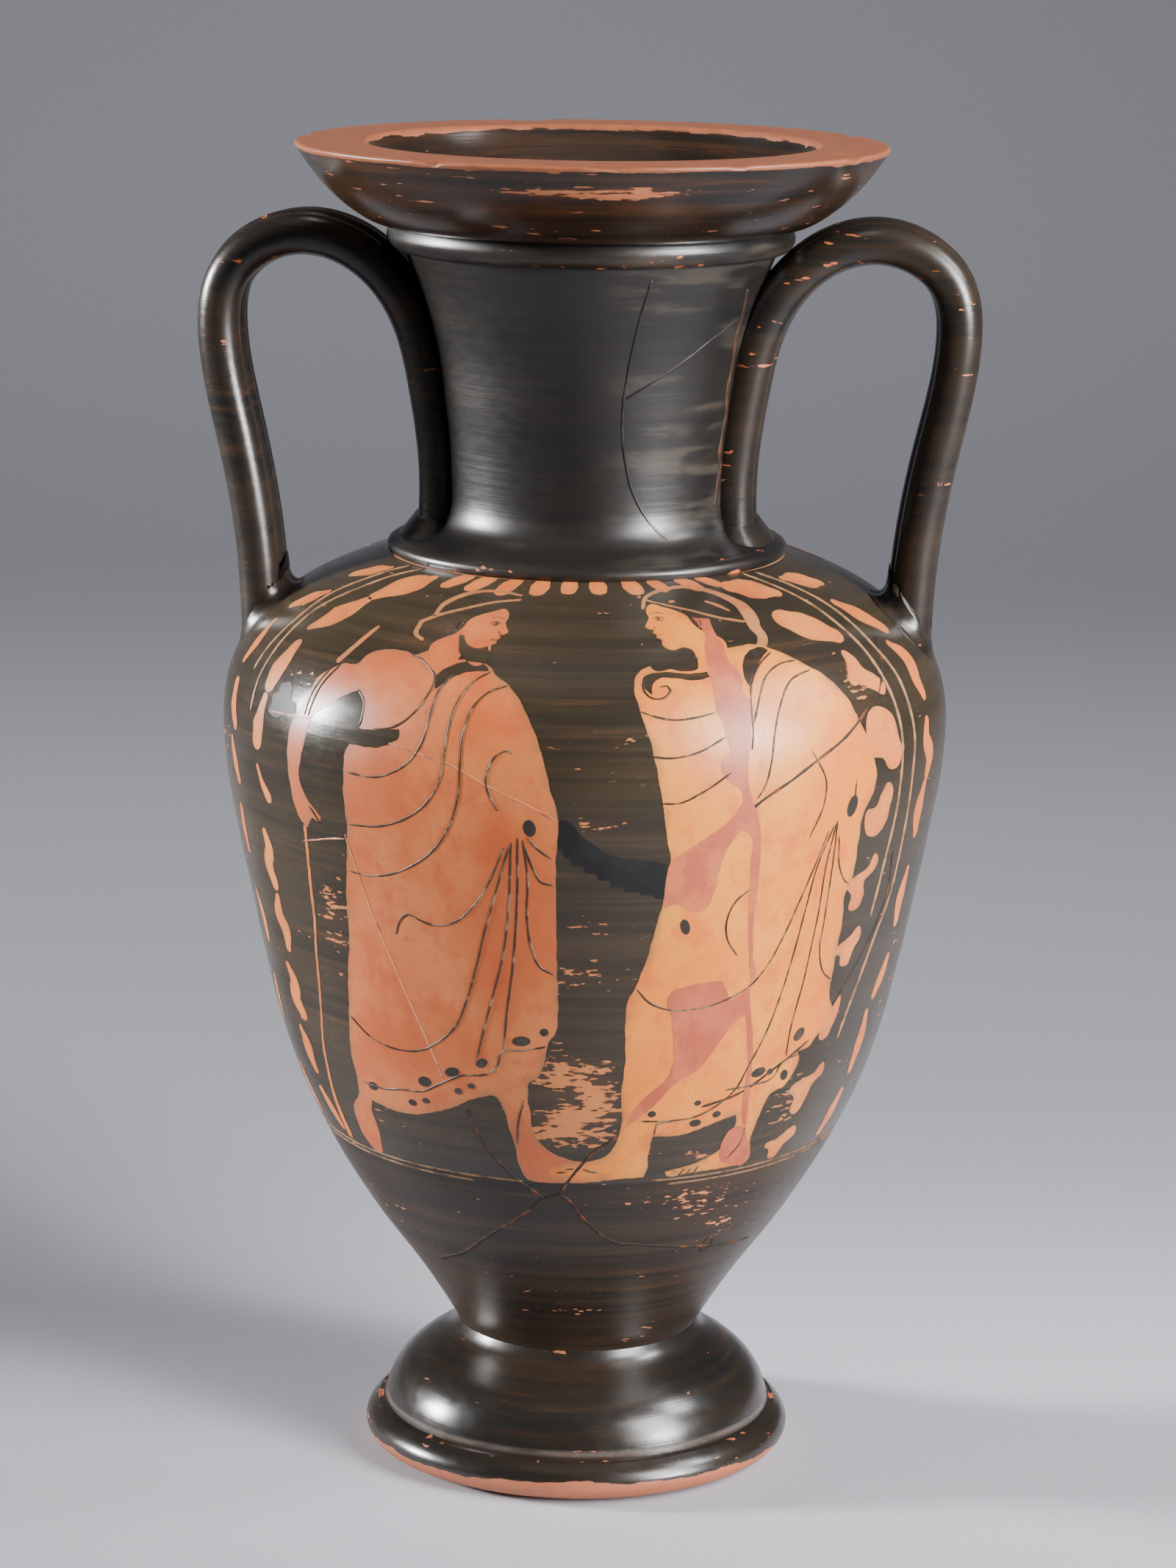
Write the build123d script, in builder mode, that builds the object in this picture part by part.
"""Red-figure neck-amphora: turned clay sections, two triple-roll handles and restoration fills.

Millimetres, +Z up, origin on the floor under the axis of the vase. The painted front faces -Y.
Every turned section is a revolved profile of (radius, height) points.
"""

import os

from build123d import *

os.makedirs("parts", exist_ok=True)

# Driving dimensions
height = 320.0
mouth_radius = 70.0
mouth_bore = 53.7
neck_waist = 34.2
neck_bore = 28.5
body_radius = 86.9
stem_radius = 29.6
foot_radius = 52.2

# Heights of the joints between the turned sections
foot_joint = 31.5
neck_joint = 223.2
ring_top = 226.6
collar_bottom = 294.8
mouth_joint = 300.5

# Steps that locate one section in the next
foot_boss = (16.0, 28.0)
neck_spigot = (33.0, 219.2)
mouth_spigot = (37.0, 296.0)
ring_bore = 40.0
ring_radius = 47.8
collar_bore = 44.0
collar_radius = 48.3

# Handles: three rolls of clay side by side, following one line in the X-Z plane
roll_radius = 4.9
middle_roll_radius = 5.5
roll_spacing = 8.0
handle_line = [
    (77.0, 195.0),
    (78.3, 222.0),
    (83.0, 250.0),
    (87.2, 273.0),
    (84.6, 289.0),
    (70.0, 297.8),
    (55.0, 294.4),
    (42.6, 280.5),
    (37.4, 262.0),
    (34.8, 242.0),
    (35.2, 224.5),
]

# Outlines of the restored gaps, seen from the front, as (x, z)
shoulder_gap = [
    (27.5, 217.0),
    (32.0, 215.5),
    (40.0, 202.0),
    (40.5, 191.0),
    (43.5, 178.0),
    (43.5, 163.0),
    (40.5, 170.0),
    (36.0, 169.0),
    (33.0, 156.0),
    (27.0, 153.5),
    (23.0, 156.0),
    (23.5, 166.0),
    (29.0, 168.0),
    (37.0, 172.5),
    (38.8, 181.0),
    (34.5, 188.0),
    (35.5, 195.0),
    (31.0, 208.5),
]
middle_gap = [
    (-1.0, 177.0),
    (2.5, 173.5),
    (23.5, 166.0),
    (23.0, 156.0),
    (12.5, 160.0),
    (2.5, 165.5),
    (-1.0, 168.0),
]
skirt_gap = [
    (23.5, 133.0),
    (25.0, 135.0),
    (36.0, 136.5),
    (37.0, 131.5),
    (42.0, 134.0),
    (42.0, 128.0),
    (33.0, 116.5),
    (24.0, 109.0),
    (15.0, 100.5),
    (25.0, 114.5),
    (25.0, 123.0),
]
heel_gap = [(39.0, 98.0), (42.5, 94.0), (42.5, 86.0), (38.0, 86.5), (36.0, 91.5)]
left_gap = [(-71.0, 197.0), (-67.3, 199.0), (-63.8, 198.0), (-64.0, 193.0), (-68.0, 191.0)]
gap_reach = 120.0

# Outer outline of the body from the foot joint up to the neck joint
body_outline = [
    (stem_radius, foot_joint),
    (37.3, 44.0),
    (48.8, 60.0),
    (61.2, 80.0),
    (70.2, 100.0),
    (76.0, 120.0),
    (80.2, 140.0),
    (84.2, 160.0),
    (body_radius, 181.0),
    (84.5, 197.0),
    (72.2, 212.0),
    (47.5, neck_joint),
]
body_cavity = [
    (neck_spigot[0] - 3.0, neck_spigot[1]),
    (50.0, 215.5),
    (67.5, 207.5),
    (79.0, 194.5),
    (81.7, 181.0),
    (79.2, 160.0),
    (71.0, 120.0),
    (56.0, 80.0),
    (38.0, 53.0),
    (20.0, 39.5),
    (0.0, 37.0),
]
foot_outline = [
    (stem_radius, foot_joint),
    (31.2, 29.0),
    (35.2, 26.2),
    (40.2, 22.9),
    (44.3, 18.6),
    (46.6, 14.0),
    (47.5, 10.6),
]


def finish(piece, name):
    """Labels a finished part and writes its STEP file."""
    piece.part.label = name
    export_step(piece.part, f"parts/{name}.step")


# Body: a thin-walled ovoid with a boss for the foot and a seat for the neck
with BuildPart() as body_core:
    with BuildSketch(Plane.XZ):
        with BuildLine():
            Spline(*body_outline)
            Polyline((47.5, neck_joint), (0, neck_joint), (0, foot_joint), (stem_radius, foot_joint))
        make_face()
    revolve(axis=Axis.Z)

with BuildPart() as body_shell:
    with BuildSketch(Plane.XZ):
        with BuildLine():
            Spline(*body_outline)
            Polyline(
                (47.5, neck_joint),
                (neck_spigot[0], neck_joint),
                neck_spigot,
                (neck_spigot[0] - 3.0, neck_spigot[1]),
            )
            Spline(*body_cavity, tangents=[(1.0, -0.1), (-1.0, 0.0)])
            Polyline(
                (0, 37.0),
                (0, foot_boss[1]),
                foot_boss,
                (foot_boss[0], foot_joint),
                (stem_radius, foot_joint),
            )
        make_face()
    revolve(axis=Axis.Z)

# Restoration fills: the pieces of wall that stand in for lost sherds
gaps = {
    "toned_fill_shoulder": shoulder_gap,
    "dark_fill_middle": middle_gap,
    "toned_fill_skirt": skirt_gap,
    "toned_fill_heel": heel_gap,
    "dark_fill_left": left_gap,
}
for fill_name, outline in gaps.items():
    with BuildPart() as fill:
        with BuildSketch(Plane.XZ):
            with BuildLine():
                Polyline(*outline, close=True)
            make_face()
        extrude(amount=gap_reach)
        add(body_shell.part, mode=Mode.INTERSECT)
    finish(fill, fill_name)

with BuildPart() as body:
    add(body_shell.part)
    for outline in gaps.values():
        with BuildSketch(Plane.XZ):
            with BuildLine():
                Polyline(*outline, close=True)
            make_face()
        extrude(amount=gap_reach, mode=Mode.SUBTRACT)
finish(body, "body")

# Foot: a torus over a rounded disc, hollow underneath
with BuildPart() as foot:
    with BuildSketch(Plane.XZ):
        with BuildLine():
            Spline(*foot_outline)
            Polyline((47.5, 10.6), (48.2, 10.0), (49.0, 10.0))
            Spline((49.0, 10.0), (51.4, 7.4), (foot_radius, 4.2), (51.0, 1.3), (49.0, 0.0))
            Line((49.0, 0.0), (40.0, 0.0))
            Spline((40.0, 0.0), (33.0, 9.0), (18.0, 16.0), (0.0, 18.0))
            Polyline(
                (0.0, 18.0),
                (0.0, foot_boss[1]),
                foot_boss,
                (foot_boss[0], foot_joint),
                (stem_radius, foot_joint),
            )
        make_face()
    revolve(axis=Axis.Z)
finish(foot, "foot")

# Neck: a waisted tube with a spigot at the bottom and a rebate at the top
with BuildPart() as neck:
    with BuildSketch(Plane.XZ):
        with BuildLine():
            Line((collar_bore, mouth_joint), (collar_bore, collar_bottom))
            Spline(
                (collar_bore, collar_bottom),
                (38.8, 279.0),
                (35.5, 258.0),
                (neck_waist, 241.0),
                (36.4, 230.0),
                (44.0, ring_top),
            )
            Polyline(
                (44.0, ring_top),
                (ring_bore, ring_top),
                (ring_bore, neck_joint),
                (neck_spigot[0], neck_joint),
                neck_spigot,
                (neck_bore + 1.0, neck_spigot[1]),
            )
            Spline(
                (neck_bore + 1.0, neck_spigot[1]),
                (neck_bore, 241.0),
                (29.6, 268.0),
                (33.0, mouth_spigot[1]),
            )
            Polyline(
                (33.0, mouth_spigot[1]),
                mouth_spigot,
                (mouth_spigot[0], mouth_joint),
                (collar_bore, mouth_joint),
            )
        make_face()
    revolve(axis=Axis.Z)
finish(neck, "neck")

# Moulding laid around the joint of neck and shoulder
with BuildPart() as neck_base_ring:
    with BuildSketch(Plane.XZ):
        with BuildLine():
            Line((44.6, ring_top), (ring_bore, ring_top))
            Line((ring_bore, ring_top), (ring_bore, neck_joint))
            Line((ring_bore, neck_joint), (47.2, neck_joint))
            ThreePointArc((47.2, neck_joint), (ring_radius, 224.9), (44.6, ring_top))
        make_face()
    revolve(axis=Axis.Z)
finish(neck_base_ring, "neck_base_ring")

# Collar moulding under the mouth
with BuildPart() as collar_ring:
    with BuildSketch(Plane.XZ):
        with BuildLine():
            Line((collar_bore, mouth_joint), (collar_bore, collar_bottom))
            Line((collar_bore, collar_bottom), (45.4, collar_bottom))
            ThreePointArc((45.4, collar_bottom), (collar_radius, 298.2), (47.6, mouth_joint))
            Line((47.6, mouth_joint), (collar_bore, mouth_joint))
        make_face()
    revolve(axis=Axis.Z)
finish(collar_ring, "collar_ring")

# Mouth: a wide flaring lip with a flat top, seated on the neck
with BuildPart() as mouth:
    with BuildSketch(Plane.XZ):
        with BuildLine():
            Polyline(
                (47.6, mouth_joint),
                (mouth_spigot[0], mouth_joint),
                mouth_spigot,
                (33.0, mouth_spigot[1]),
            )
            Spline((33.0, mouth_spigot[1]), (39.0, 304.5), (48.6, 312.5), (mouth_bore, height))
            Polyline((mouth_bore, height), (mouth_radius - 0.6, height), (mouth_radius, 319.2))
            Spline(
                (mouth_radius, 319.2),
                (66.6, 314.2),
                (61.6, 308.4),
                (55.6, 303.6),
                (50.8, 301.2),
                (47.6, mouth_joint),
            )
        make_face()
    revolve(axis=Axis.Z)
finish(mouth, "mouth")

# Handles: each roll is swept along the handle line and trimmed where it was luted on
roll_sections = {
    "front": (-roll_spacing, roll_radius),
    "middle": (0.0, middle_roll_radius),
    "back": (roll_spacing, roll_radius),
}
shoulder_clay_top = 213.0
shoulder_clay_bottom = 192.0
neck_clay_top = 231.5

for side_name, side in (("left", -1.0), ("right", 1.0)):
    rolls = []
    for place, (offset, radius) in roll_sections.items():
        route = [(side * x, offset, z) for x, z in handle_line]
        with BuildPart() as roll:
            with BuildLine():
                line = Spline(*route)
            with BuildSketch(Plane(origin=line @ 0, x_dir=(0, 1, 0), z_dir=line % 0)):
                Circle(radius)
                with Locations((-offset, 0)):
                    if offset == 0:
                        Rectangle(roll_spacing, 4 * radius, mode=Mode.INTERSECT)
                    else:
                        Rectangle(roll_spacing, 4 * radius, mode=Mode.SUBTRACT)
            sweep()
            add(body_core.part, mode=Mode.SUBTRACT)
            add(neck.part, mode=Mode.SUBTRACT)
            add(neck_base_ring.part, mode=Mode.SUBTRACT)
            add(collar_ring.part, mode=Mode.SUBTRACT)
        finish(roll, f"{side_name}_handle_{place}_roll")
        rolls.append(roll)

    with BuildPart() as shoulder_clay:
        with BuildSketch(Plane.XY.offset(shoulder_clay_bottom)):
            with Locations((side * 76.5, 0)):
                Ellipse(11.5, 17.5)
        with BuildSketch(Plane.XY.offset(shoulder_clay_top)):
            with Locations((side * 77.8, 0)):
                Ellipse(6.2, 13.8)
        loft()
        add(body_core.part, mode=Mode.SUBTRACT)
        for roll in rolls:
            add(roll.part, mode=Mode.SUBTRACT)
    finish(shoulder_clay, f"{side_name}_handle_shoulder_clay")

    with BuildPart() as neck_clay:
        with BuildSketch(Plane.XY.offset(ring_top)):
            with Locations((side * 36.0, 0)):
                Ellipse(9.0, 17.0)
        with BuildSketch(Plane.XY.offset(neck_clay_top)):
            with Locations((side * 35.0, 0)):
                Ellipse(6.2, 13.6)
        loft()
        add(neck.part, mode=Mode.SUBTRACT)
        add(neck_base_ring.part, mode=Mode.SUBTRACT)
        for roll in rolls:
            add(roll.part, mode=Mode.SUBTRACT)
    finish(neck_clay, f"{side_name}_handle_neck_clay")
